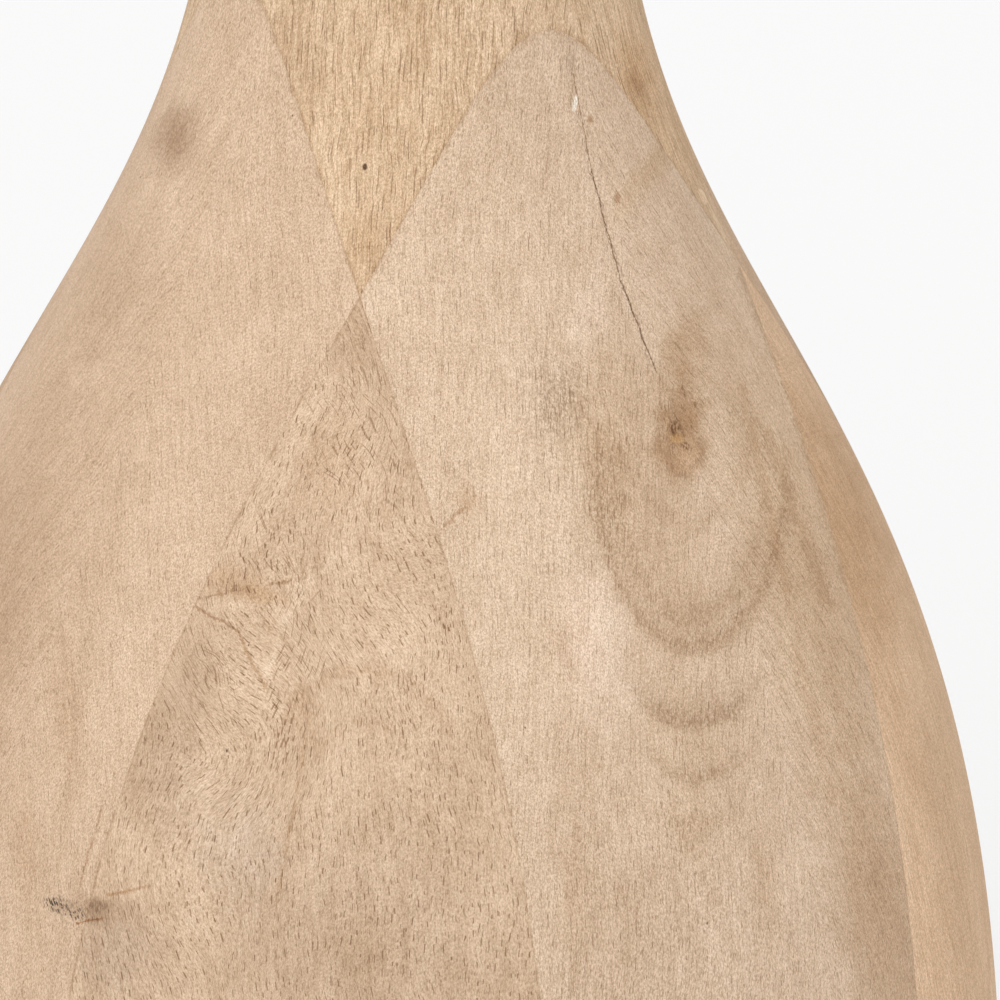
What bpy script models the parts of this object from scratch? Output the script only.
"""A turned wooden fertility doll.

A pear-shaped body is lathed from nine glued posts, and a dowel holds a ringed collar and a disc head on it.
"""

import math

import bmesh
import bpy
from mathutils import Matrix, Vector
from mathutils.geometry import interpolate_bezier

MM = 0.001

# Clearance left between two pieces that are glued or laid against each other.
GAP = 0.3 * MM

# Turned body: radius and height of the outline's three knots, and the lengths of its handles.
BASE_RADIUS = 60.0 * MM
BASE_HEIGHT = 3.0 * MM
BASE_HANDLE = 38.0 * MM
BASE_FLARE = math.radians(34)
BELLY_RADIUS = 86.8 * MM
BELLY_HEIGHT = 84.0 * MM
BELLY_HANDLE_DOWN = 42.0 * MM
BELLY_HANDLE_UP = 128.6 * MM
NECK_RADIUS = 27.3 * MM
NECK_HEIGHT = 298.4 * MM
NECK_HANDLE = 84.1 * MM
BASE_EDGE_ROUND = 1.5 * MM
BODY_SEGMENTS = 64
LOWER_RINGS = 7
UPPER_RINGS = 18

# The glued blank: where each glue plane stands from the axis, and how far the blank is turned about it.
BLANK_TURN = math.radians(35)
LEFT_GLUE_PLANE = 29.3 * MM
RIGHT_GLUE_PLANE = 33.6 * MM
FRONT_GLUE_PLANE = 30.5 * MM
BACK_GLUE_PLANE = 31.9 * MM
BLANK_REACH = 120.0 * MM

# Dowel that holds the collar and the head on the neck.
DOWEL_RADIUS = 5.0 * MM
DOWEL_BORE_RADIUS = DOWEL_RADIUS + GAP
DOWEL_DEPTH_IN_BODY = 42.0 * MM
DOWEL_DEPTH_IN_HEAD = 34.0 * MM
DOWEL_END_CHAMFER = 1.0 * MM
ROUND_SEGMENTS = 24

# Turned collar: three beads between the neck and the head.
COLLAR_BEADS = 3
COLLAR_BEAD_HEIGHT = 7.0 * MM
COLLAR_GROOVE_RADIUS = 26.8 * MM
COLLAR_BEAD_RADII = (31.8 * MM, 30.8 * MM, 29.4 * MM)
COLLAR_POINTS_PER_BEAD = 5
COLLAR_BEAD_FULLNESS = 0.6
COLLAR_TOP_STEP = 1.0 * MM

# Disc head: a thick disc with a soft edge, cut flat where it stands on the collar.
HEAD_RADIUS = 72.0 * MM
HEAD_HALF_THICKNESS = 21.0 * MM
HEAD_EDGE_POWER = 5.0
HEAD_FOOT_HALF_WIDTH = 24.0 * MM
HEAD_BOARD_HALF_WIDTH = 30.0 * MM
HEAD_SEGMENTS = 60
HEAD_RINGS = 8

# Face carved as thin reliefs that are glued to the front of the disc.
RELIEF_HEIGHT = 3.4 * MM
BROW_HALF_SPAN = 27.0 * MM
BROW_RISE = 6.6 * MM
BROW_ROUNDNESS = 0.8
BROW_WIDTH = 4.6 * MM
BROW_TAPER = 0.55
BROW_DROP = 4.0 * MM
BROW_STEPS = 10
NOSE_LENGTH = 29.0 * MM
NOSE_TIP_HALF_WIDTH = 5.2 * MM
NOSE_ROOT_HALF_WIDTH = 2.4 * MM
NOSE_TIP_TAPER = 0.6
NOSE_TIP_RISE = 3.0 * MM
ALMOND_STEPS = 8
EYE_HALF_LENGTH = 7.2 * MM
EYE_HALF_HEIGHT = 2.7 * MM
EYE_OFFSET = 15.5 * MM
MOUTH_HALF_LENGTH = 7.0 * MM
MOUTH_HALF_HEIGHT = 2.4 * MM

# Felt pads under the four outer corners of the base.
PAD_RADIUS = 9.0 * MM
PAD_THICKNESS = BASE_HEIGHT - GAP
PAD_CIRCLE_RADIUS = 46.0 * MM

# Heights that follow from the sizes above.
COLLAR_BOTTOM = NECK_HEIGHT + GAP
COLLAR_TOP = COLLAR_BOTTOM + COLLAR_BEADS * COLLAR_BEAD_HEIGHT
HEAD_FOOT_HEIGHT = COLLAR_TOP + GAP
HEAD_CENTRE_HEIGHT = HEAD_FOOT_HEIGHT + math.sqrt(HEAD_RADIUS**2 - HEAD_FOOT_HALF_WIDTH**2)
BROW_HEIGHT = HEAD_CENTRE_HEIGHT - 2.0 * MM
NOSE_TIP_HEIGHT = BROW_HEIGHT - NOSE_LENGTH
EYE_HEIGHT = BROW_HEIGHT - 10.0 * MM
MOUTH_HEIGHT = NOSE_TIP_HEIGHT - 9.5 * MM

WOODS = {
    "core": (0.62, 0.46, 0.30),
    "pale": (0.68, 0.52, 0.36),
    "warm": (0.64, 0.48, 0.32),
    "beech": (0.60, 0.43, 0.26),
}
FELT_COLOUR = (0.10, 0.09, 0.08)


def clear_scene():
    """Remove whatever the startup file holds."""
    for obj in list(bpy.data.objects):
        bpy.data.objects.remove(obj, do_unlink=True)


def make_material(name, colour, roughness):
    """Return a plain Principled material, made once for each name."""
    found = bpy.data.materials.get(name)
    if found:
        return found
    material = bpy.data.materials.new(name)
    material.use_nodes = True
    shader = material.node_tree.nodes["Principled BSDF"]
    shader.inputs["Base Color"].default_value = (*colour, 1.0)
    shader.inputs["Roughness"].default_value = roughness
    shader.inputs["Metallic"].default_value = 0.0
    return material


def wood(kind):
    """Return one of the raw, sanded woods."""
    return make_material(f"wood_{kind}", WOODS[kind], 0.75)


def add_object(name, mesh, material=None):
    """Link a mesh as an object of its own."""
    obj = bpy.data.objects.new(name, mesh)
    bpy.context.scene.collection.objects.link(obj)
    if material:
        mesh.materials.append(material)
    return obj


def add_cutter(name, mesh):
    """Link a mesh that only cuts other pieces."""
    cutter = add_object(name, mesh)
    cutter.hide_render = True
    cutter.display_type = "WIRE"
    return cutter


def boolean(obj, cutter, operation):
    """Cut or keep part of an object with an exact Boolean."""
    modifier = obj.modifiers.new(f"{operation.lower()}_{cutter.name}", "BOOLEAN")
    modifier.operation = operation
    modifier.solver = "EXACT"
    modifier.object = cutter


def smooth(mesh, angle_degrees=35):
    """Shade a round piece smooth, and keep its real edges sharp."""
    mesh.shade_smooth()
    mesh.set_sharp_from_angle(angle=math.radians(angle_degrees))


def turned_mesh(name, outline, segments):
    """Spin an outline of (radius, height) points about Z, bottom to top. Points on the axis close it."""
    bm = bmesh.new()
    rings = []
    for radius, height in outline:
        if radius < 1e-7:
            rings.append([bm.verts.new((0.0, 0.0, height))])
            continue
        ring = []
        for step in range(segments):
            angle = 2 * math.pi * step / segments
            ring.append(bm.verts.new((radius * math.cos(angle), radius * math.sin(angle), height)))
        rings.append(ring)
    for lower, upper in zip(rings, rings[1:]):
        for step in range(segments):
            after = (step + 1) % segments
            corners = [lower[step % len(lower)], lower[after % len(lower)]]
            corners += [upper[after % len(upper)], upper[step % len(upper)]]
            bm.faces.new(list(dict.fromkeys(corners)))
    bm.normal_update()
    mesh = bpy.data.meshes.new(name)
    bm.to_mesh(mesh)
    bm.free()
    smooth(mesh)
    return mesh


def tube_mesh(name, outline, bore_radius, segments):
    """Spin an outline about Z around a straight bore that is open at both ends."""
    lowest, highest = outline[0][1], outline[-1][1]
    loop = [(bore_radius, lowest), *outline, (bore_radius, highest)]
    bm = bmesh.new()
    rings = []
    for radius, height in loop:
        ring = []
        for step in range(segments):
            angle = 2 * math.pi * step / segments
            ring.append(bm.verts.new((radius * math.cos(angle), radius * math.sin(angle), height)))
        rings.append(ring)
    for lower, upper in zip(rings, rings[1:] + rings[:1]):
        for step in range(segments):
            after = (step + 1) % segments
            bm.faces.new((lower[step], lower[after], upper[after], upper[step]))
    mesh = bpy.data.meshes.new(name)
    bm.to_mesh(mesh)
    bm.free()
    smooth(mesh)
    return mesh


def box_mesh(name, low, high):
    """Return a box between two corners."""
    bm = bmesh.new()
    bmesh.ops.create_cube(bm, size=1.0)
    size = Vector(high) - Vector(low)
    middle = (Vector(high) + Vector(low)) / 2
    bmesh.ops.scale(bm, vec=size, verts=bm.verts)
    bmesh.ops.translate(bm, vec=middle, verts=bm.verts)
    mesh = bpy.data.meshes.new(name)
    bm.to_mesh(mesh)
    bm.free()
    return mesh


def cylinder_mesh(name, radius, low, high, chamfer=0.0):
    """Return a round rod along Z, with a chamfer at each end if one is asked for."""
    if chamfer:
        outline = [(0.0, low), (radius - chamfer, low), (radius, low + chamfer)]
        outline += [(radius, high - chamfer), (radius - chamfer, high), (0.0, high)]
    else:
        outline = [(0.0, low), (radius, low), (radius, high), (0.0, high)]
    return turned_mesh(name, outline, ROUND_SEGMENTS)


def bezier_points(start, start_handle, end_handle, end, count):
    """Return points of one cubic stretch in (radius, height), without its first one."""
    knots = [Vector((*point, 0.0)) for point in (start, start_handle, end_handle, end)]
    return [(point.x, point.y) for point in interpolate_bezier(*knots, count + 1)[1:]]


def body_outline():
    """Outline of the turned body: base, belly and neck, on two cubic stretches."""
    base_edge = BASE_HEIGHT + BASE_EDGE_ROUND
    base = (BASE_RADIUS, base_edge)
    flare_out, flare_up = BASE_HANDLE * math.sin(BASE_FLARE), BASE_HANDLE * math.cos(BASE_FLARE)
    base_handle = (BASE_RADIUS + flare_out, base_edge + flare_up)
    belly = (BELLY_RADIUS, BELLY_HEIGHT)
    belly_down = (BELLY_RADIUS, BELLY_HEIGHT - BELLY_HANDLE_DOWN)
    belly_up = (BELLY_RADIUS, BELLY_HEIGHT + BELLY_HANDLE_UP)
    neck = (NECK_RADIUS, NECK_HEIGHT)
    neck_handle = (NECK_RADIUS, NECK_HEIGHT - NECK_HANDLE)
    lower = bezier_points(base, base_handle, belly_down, belly, LOWER_RINGS)
    upper = bezier_points(belly, belly_up, neck_handle, neck, UPPER_RINGS)
    foot = [(0.0, BASE_HEIGHT), (BASE_RADIUS - BASE_EDGE_ROUND, BASE_HEIGHT), base]
    return [*foot, *lower, *upper, (0.0, NECK_HEIGHT)]


def blank_bands():
    """The three bands of the blank across each way, as (name, low, high) measured from the axis."""
    across = [
        ("left", -BLANK_REACH, -LEFT_GLUE_PLANE - GAP / 2),
        ("", -LEFT_GLUE_PLANE + GAP / 2, RIGHT_GLUE_PLANE - GAP / 2),
        ("right", RIGHT_GLUE_PLANE + GAP / 2, BLANK_REACH),
    ]
    along = [
        ("front", -BLANK_REACH, -FRONT_GLUE_PLANE - GAP / 2),
        ("", -FRONT_GLUE_PLANE + GAP / 2, BACK_GLUE_PLANE - GAP / 2),
        ("back", BACK_GLUE_PLANE + GAP / 2, BLANK_REACH),
    ]
    return across, along


def build_posts():
    """Make the nine posts of the blank, each one the part of the turned body inside its own square."""
    kinds = {"core_post": "core", "front_post": "pale", "left_post": "pale"}
    body = turned_mesh("turned_body", body_outline(), BODY_SEGMENTS)
    bore = add_cutter(
        "dowel_bore",
        cylinder_mesh(
            "dowel_bore",
            DOWEL_BORE_RADIUS,
            NECK_HEIGHT - DOWEL_DEPTH_IN_BODY,
            NECK_HEIGHT + DOWEL_DEPTH_IN_BODY,
        ),
    )
    across, along = blank_bands()
    for along_name, y_low, y_high in along:
        for across_name, x_low, x_high in across:
            name = "_".join(word for word in (along_name, across_name, "post") if word)
            name = "core_post" if name == "post" else name
            low = (x_low, y_low, -BLANK_REACH)
            high = (x_high, y_high, NECK_HEIGHT + BLANK_REACH)
            square = add_cutter(f"{name}_square", box_mesh(f"{name}_square", low, high))
            square.rotation_euler.z = BLANK_TURN
            post = add_object(name, body.copy(), wood(kinds.get(name, "warm")))
            boolean(post, square, "INTERSECT")
            if name == "core_post":
                boolean(post, bore, "DIFFERENCE")


def build_collar():
    """Make the ringed collar, whose beads are half waves between their grooves."""
    outline = []
    for bead, bead_radius in enumerate(COLLAR_BEAD_RADII):
        for step in range(COLLAR_POINTS_PER_BEAD):
            share = step / COLLAR_POINTS_PER_BEAD
            swell = math.sin(math.pi * share) ** COLLAR_BEAD_FULLNESS
            radius = COLLAR_GROOVE_RADIUS + (bead_radius - COLLAR_GROOVE_RADIUS) * swell
            outline.append((radius, COLLAR_BOTTOM + (bead + share) * COLLAR_BEAD_HEIGHT))
    outline.append((COLLAR_GROOVE_RADIUS - COLLAR_TOP_STEP, COLLAR_TOP))
    mesh = tube_mesh("neck_collar", outline, DOWEL_BORE_RADIUS, BODY_SEGMENTS)
    add_object("neck_collar", mesh, wood("core"))


def build_dowel():
    """Make the dowel through the collar, a little short of the ends of its two blind holes."""
    low = NECK_HEIGHT - DOWEL_DEPTH_IN_BODY + GAP
    high = HEAD_FOOT_HEIGHT + DOWEL_DEPTH_IN_HEAD - GAP
    rod = cylinder_mesh("head_dowel", DOWEL_RADIUS, low, high, DOWEL_END_CHAMFER)
    add_object("head_dowel", rod, wood("beech"))


def head_disc_mesh(name, grow=0.0):
    """Return the whole disc as a shape turned about the Y axis. It can be grown all round."""
    half = []
    for step in range(HEAD_RINGS + 1):
        share = math.sin(0.5 * math.pi * step / HEAD_RINGS)
        thickness = math.sqrt(max(0.0, 1.0 - share**HEAD_EDGE_POWER))
        half.append((share * (HEAD_RADIUS + grow), thickness * (HEAD_HALF_THICKNESS + grow)))
    outline = [(radius, -height) for radius, height in half[:-1]] + [(half[-1][0], 0.0)]
    outline += [(radius, height) for radius, height in reversed(half[:-1])]
    mesh = turned_mesh(name, outline, HEAD_SEGMENTS)
    mesh.transform(Matrix.Rotation(math.pi / HEAD_SEGMENTS, 4, "Z"))
    mesh.transform(Matrix.Rotation(math.radians(90), 4, "X"))
    mesh.transform(Matrix.Translation((0.0, 0.0, HEAD_CENTRE_HEIGHT)))
    return mesh


def build_head():
    """Make the disc head from three boards that are glued edge to edge."""
    bore = add_cutter(
        "head_bore",
        cylinder_mesh("head_bore", DOWEL_BORE_RADIUS, NECK_HEIGHT, HEAD_FOOT_HEIGHT + DOWEL_DEPTH_IN_HEAD),
    )
    edge = HEAD_BOARD_HALF_WIDTH
    top = HEAD_CENTRE_HEIGHT + BLANK_REACH
    for name, x_low, x_high in (
        ("head_left_board", -BLANK_REACH, -edge - GAP / 2),
        ("head_centre_board", -edge + GAP / 2, edge - GAP / 2),
        ("head_right_board", edge + GAP / 2, BLANK_REACH),
    ):
        low, high = (x_low, -BLANK_REACH, HEAD_FOOT_HEIGHT), (x_high, BLANK_REACH, top)
        board = add_object(name, head_disc_mesh(name), wood("pale"))
        boolean(board, add_cutter(f"{name}_limits", box_mesh(f"{name}_limits", low, high)), "INTERSECT")
        if name == "head_centre_board":
            boolean(board, bore, "DIFFERENCE")


def prism_mesh(name, outline):
    """Return a prism of an (x, z) outline that is longer than the head's front half along Y."""
    bm = bmesh.new()
    corners = [bm.verts.new((x, 0.0, z)) for x, z in outline]
    face = bm.faces.new(corners)
    grown = bmesh.ops.extrude_face_region(bm, geom=[face])
    moved = [item for item in grown["geom"] if isinstance(item, bmesh.types.BMVert)]
    bmesh.ops.translate(bm, vec=(0.0, -2 * HEAD_HALF_THICKNESS, 0.0), verts=moved)
    bmesh.ops.recalc_face_normals(bm, faces=bm.faces)
    mesh = bpy.data.meshes.new(name)
    bm.to_mesh(mesh)
    bm.free()
    return mesh


def brow_and_nose_outline():
    """Outline of the two brow arcs and the long nose that runs down from where they meet."""
    upper, lower = [], []
    for step in range(-BROW_STEPS, BROW_STEPS + 1):
        share = step / BROW_STEPS
        bow = BROW_RISE * abs(math.sin(math.pi * share)) ** BROW_ROUNDNESS
        height = BROW_HEIGHT + bow - BROW_DROP * abs(share) ** 3
        upper.append((share * BROW_HALF_SPAN, height))
        if abs(share) * BROW_HALF_SPAN > NOSE_ROOT_HALF_WIDTH:
            width = BROW_WIDTH * (1.0 - BROW_TAPER * share**2)
            lower.append((share * BROW_HALF_SPAN, height - width))
    nose = [
        (-NOSE_ROOT_HALF_WIDTH, BROW_HEIGHT - BROW_WIDTH),
        (-NOSE_TIP_HALF_WIDTH, NOSE_TIP_HEIGHT + NOSE_TIP_RISE),
        (-NOSE_TIP_HALF_WIDTH * NOSE_TIP_TAPER, NOSE_TIP_HEIGHT),
        (NOSE_TIP_HALF_WIDTH * NOSE_TIP_TAPER, NOSE_TIP_HEIGHT),
        (NOSE_TIP_HALF_WIDTH, NOSE_TIP_HEIGHT + NOSE_TIP_RISE),
        (NOSE_ROOT_HALF_WIDTH, BROW_HEIGHT - BROW_WIDTH),
    ]
    left = [point for point in lower if point[0] < 0]
    right = [point for point in lower if point[0] > 0]
    return [*reversed(upper), *left, *nose, *right]


def almond_outline(centre_x, centre_z, half_length, half_height):
    """Outline of a coffee-bean shape between two points."""
    shares = [step / ALMOND_STEPS for step in range(-ALMOND_STEPS, ALMOND_STEPS)]
    upper = [(share, 1.0 - share * share) for share in shares]
    lower = [(-x, -z) for x, z in upper]
    return [(centre_x + half_length * x, centre_z + half_height * z) for x, z in upper + lower]


def build_face():
    """Make the reliefs of the face, each one lying on the dome of the disc and standing proud of it."""
    proud = add_cutter("face_front", head_disc_mesh("face_front", RELIEF_HEIGHT))
    back = add_cutter("face_back", head_disc_mesh("face_back", GAP))
    outlines = {
        "brow_and_nose": brow_and_nose_outline(),
        "left_eye": almond_outline(-EYE_OFFSET, EYE_HEIGHT, EYE_HALF_LENGTH, EYE_HALF_HEIGHT),
        "right_eye": almond_outline(EYE_OFFSET, EYE_HEIGHT, EYE_HALF_LENGTH, EYE_HALF_HEIGHT),
        "mouth": almond_outline(0.0, MOUTH_HEIGHT, MOUTH_HALF_LENGTH, MOUTH_HALF_HEIGHT),
    }
    for name, outline in outlines.items():
        relief = add_object(name, prism_mesh(name, outline), wood("core"))
        boolean(relief, proud, "INTERSECT")
        boolean(relief, back, "DIFFERENCE")


def build_pads():
    """Make the four felt pads, one under each corner of the blank."""
    felt = make_material("felt", FELT_COLOUR, 0.95)
    for number in range(4):
        angle = BLANK_TURN + math.radians(45 + 90 * number)
        name = f"felt_pad_{number + 1}"
        pad = add_object(name, cylinder_mesh(name, PAD_RADIUS, 0.0, PAD_THICKNESS), felt)
        pad.location = (PAD_CIRCLE_RADIUS * math.cos(angle), PAD_CIRCLE_RADIUS * math.sin(angle), 0.0)


def main():
    """Build the doll from its base to its face."""
    clear_scene()
    build_pads()
    build_posts()
    build_collar()
    build_dowel()
    build_head()
    build_face()


main()
